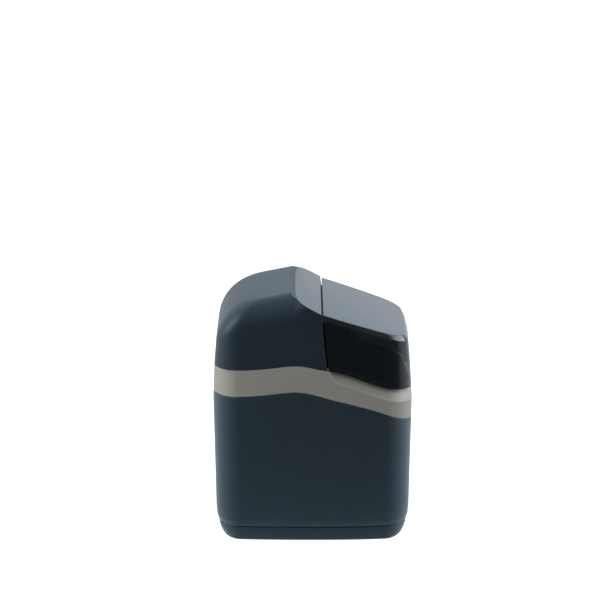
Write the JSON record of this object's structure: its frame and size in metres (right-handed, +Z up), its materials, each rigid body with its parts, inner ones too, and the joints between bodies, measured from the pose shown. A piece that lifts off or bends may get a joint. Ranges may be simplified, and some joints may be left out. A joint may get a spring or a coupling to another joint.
{
  "type": "water softener",
  "caption": "Compact cabinet water softener: dark brine tank, waved grey band, domed rear hood, hinged smoked visor with silver plate, inner resin tank and rotary valve.",
  "frame": {"origin": "middle of the footprint, on the floor", "axes": "+Z up, -Y towards the front with the visor, +X to the right of someone who stands at the front and looks at it"},
  "size_m": [0.3588, 0.4843, 0.617],
  "materials": {
    "tank_plastic": "fine-grained matte, dark blue-grey",
    "hood_plastic": "fine-grained matte, dark blue-grey",
    "band_plastic": "satin warm grey",
    "silver_sheet": "satin silver-blue paint",
    "smoked_window": "polished smoked polycarbonate",
    "dark_plastic": "moulded",
    "valve_plastic": "glass-filled moulding",
    "white_plastic": "moulded",
    "button_plastic": "satin",
    "well_plastic": "extruded",
    "clear_tube": "translucent polyethylene",
    "tank_fibre": "wound fibre over liner",
    "resin": "packed resin beads",
    "board": "solder mask",
    "display_glass": "polished",
    "display_green": "liquid crystal panel",
    "rubber": "matt",
    "bright_steel": "bright",
    "brass": "cut"
  },
  "bodies": {
    "cabinet": {"brine_tank": "tank_plastic", "rim_band": "band_plastic", "top_deck": "dark_plastic", "bulkhead": "dark_plastic", "console_housing": "dark_plastic", "display_lens": "display_glass", "display_module": "display_green", "control_board": "board", "switch_set": "bright_steel", "visor_pads": "rubber", "resin_tank": "tank_fibre", "tank_boot": "dark_plastic", "riser_tube": "white_plastic", "lower_basket": "white_plastic", "upper_basket": "white_plastic", "resin_bed": "resin", "neck_seal": "rubber", "neck_clamp": "valve_plastic", "valve_body": "valve_plastic", "rotor_seal": "rubber", "wave_washer": "bright_steel", "valve_cover": "valve_plastic", "cover_screws": "bright_steel", "motor_bracket": "bright_steel", "drive_motor": "dark_plastic", "bracket_screws": "bright_steel", "position_switch": "dark_plastic", "turbine_support": "white_plastic", "venturi_housing": "valve_plastic", "venturi_cap": "valve_plastic", "inlet_adaptor": "valve_plastic", "outlet_adaptor": "valve_plastic", "port_clips": "bright_steel", "drain_fitting": "valve_plastic", "port_panel": "dark_plastic", "power_inlet": "dark_plastic", "brine_tube": "clear_tube", "brine_well": "well_plastic", "well_cap": "tank_plastic", "brine_valve": "white_plastic", "overflow_grommet": "rubber"},
    "hood": {"rear_hood": "hood_plastic", "hood_inlay": "silver_sheet"},
    "visor": {"visor_window": "smoked_window", "visor_plate": "silver_sheet", "hinge_pins": "bright_steel"},
    "back_key": {"button_back": "button_plastic"},
    "down_key": {"button_down": "button_plastic"},
    "up_key": {"button_up": "button_plastic"},
    "enter_key": {"button_enter": "button_plastic"},
    "rotor": {"valve_rotor": "white_plastic", "cam_gear": "white_plastic"},
    "pinion": {"motor_pinion": "brass"},
    "turbine": {"flow_turbine": "white_plastic"},
    "float": {"brine_float": "white_plastic"}
  },
  "joints": [
    {"name": "hood_lift", "type": "slide", "parent": "cabinet", "child": "hood", "axis": [0, 0.1011, 0.9949], "range_m": [0, 0.2]},
    {"name": "visor_hinge", "type": "hinge", "parent": "cabinet", "child": "visor", "pos_m": [0, -0.0315, 0.56805], "axis": [-1, 0, 0], "range_deg": [0, 75]},
    {"name": "back_press", "type": "slide", "parent": "cabinet", "child": "back_key", "axis": [0, 0.8424, -0.5388], "range_m": [0, 0.0012], "stiffness_N_per_m": 1000, "springref_m": -0.0008},
    {"name": "down_press", "type": "slide", "parent": "cabinet", "child": "down_key", "axis": [0, 0.8424, -0.5388], "range_m": [0, 0.0012], "stiffness_N_per_m": 1000, "springref_m": -0.0008},
    {"name": "up_press", "type": "slide", "parent": "cabinet", "child": "up_key", "axis": [0, 0.8424, -0.5388], "range_m": [0, 0.0012], "stiffness_N_per_m": 1000, "springref_m": -0.0008},
    {"name": "enter_press", "type": "slide", "parent": "cabinet", "child": "enter_key", "axis": [0, 0.8424, -0.5388], "range_m": [0, 0.0012], "stiffness_N_per_m": 1000, "springref_m": -0.0008},
    {"name": "valve_turn", "type": "hinge", "parent": "cabinet", "child": "rotor", "pos_m": [0, 0.0985, 0.529], "axis": [0, 0, 1], "continuous": true},
    {"name": "pinion_spin", "type": "hinge", "parent": "cabinet", "child": "pinion", "pos_m": [0, 0.0532, 0.529], "axis": [0, 0, 1], "continuous": true},
    {"name": "turbine_spin", "type": "hinge", "parent": "cabinet", "child": "turbine", "pos_m": [-0.032, 0.1535, 0.469], "axis": [0, 1, 0], "continuous": true},
    {"name": "float_rise", "type": "slide", "parent": "cabinet", "child": "float", "axis": [0, 0, 1], "range_m": [0, 0.064]}
  ],
  "couplings": [
    {"joint": "pinion_spin", "follows": "valve_turn", "ratio": -4}
  ]
}
